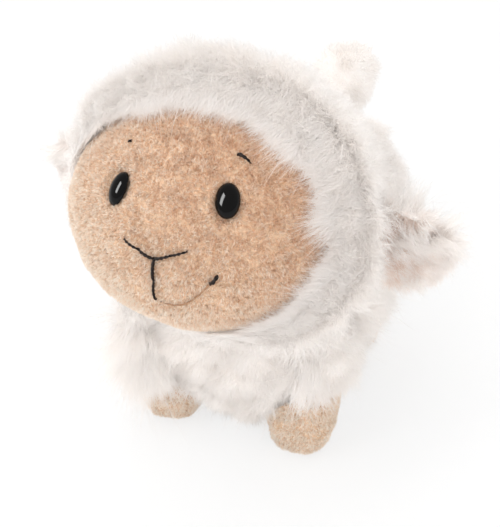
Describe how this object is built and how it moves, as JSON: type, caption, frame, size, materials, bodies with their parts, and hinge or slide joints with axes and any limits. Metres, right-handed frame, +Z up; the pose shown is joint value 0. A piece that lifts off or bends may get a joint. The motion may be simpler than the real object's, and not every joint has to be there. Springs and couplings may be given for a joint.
{
  "type": "stuffed toy sheep",
  "caption": "Standing stuffed toy sheep: cream wool-pile body and hood, tan short-pile face and feet, glossy oval eyes, sewn nose and smile, hanging ears and a round tail.",
  "frame": {"origin": "on the ground, under the middle of the toy's box", "axes": "+Z is up, the face looks along -Y, the tail points along +Y and the toy's left is +X"},
  "size_m": [0.1726, 0.216, 0.1785],
  "materials": {
    "wool_pile": "long matte wool pile",
    "face_pile": "short matte pile",
    "foot_pile": "short matte pile",
    "ear_lining": "short matte pile",
    "filling": "loose polyester fibre",
    "eye": "polished",
    "washer": "as moulded",
    "thread": "satin embroidery thread"
  },
  "bodies": {
    "sheep": {"body_left_panel": "wool_pile", "body_right_panel": "wool_pile", "belly_panel": "wool_pile", "body_stuffing": "filling", "face_left_panel": "face_pile", "hood_left_panel": "wool_pile", "face_right_panel": "face_pile", "hood_right_panel": "wool_pile", "head_stuffing": "filling", "nose_stitch": "thread", "smile_stitch": "thread", "left_brow_stitch": "thread", "right_brow_stitch": "thread", "left_eye": "eye", "left_eye_washer": "washer", "right_eye": "eye", "right_eye_washer": "washer", "front_left_foot": "foot_pile", "front_left_leg_sleeve": "wool_pile", "front_left_leg_stuffing": "filling", "back_left_foot": "foot_pile", "back_left_leg_sleeve": "wool_pile", "back_left_leg_stuffing": "filling", "front_right_foot": "foot_pile", "front_right_leg_sleeve": "wool_pile", "front_right_leg_stuffing": "filling", "back_right_foot": "foot_pile", "back_right_leg_sleeve": "wool_pile", "back_right_leg_stuffing": "filling"},
    "left_ear": {"left_ear_back": "wool_pile", "left_ear_lining": "ear_lining"},
    "right_ear": {"right_ear_back": "wool_pile", "right_ear_lining": "ear_lining"},
    "tail": {"tail_cover": "wool_pile", "tail_stuffing": "filling"}
  },
  "joints": [
    {"name": "left_ear_flap", "type": "hinge", "parent": "sheep", "child": "left_ear", "pos_m": [0.05812, -0.03069, 0.11321], "axis": [0.2231, 0.0848, 0.9711], "range_deg": [-25, 25], "stiffness_Nm_per_rad": 0.02},
    {"name": "right_ear_flap", "type": "hinge", "parent": "sheep", "child": "right_ear", "pos_m": [-0.05812, -0.03069, 0.11321], "axis": [0.2231, -0.0848, -0.9711], "range_deg": [-25, 25], "stiffness_Nm_per_rad": 0.02},
    {"name": "tail_wag", "type": "hinge", "parent": "sheep", "child": "tail", "pos_m": [0, 0.07013, 0.09354], "axis": [0, -0.4403, 0.8978], "range_deg": [-10, 10], "stiffness_Nm_per_rad": 0.02}
  ]
}
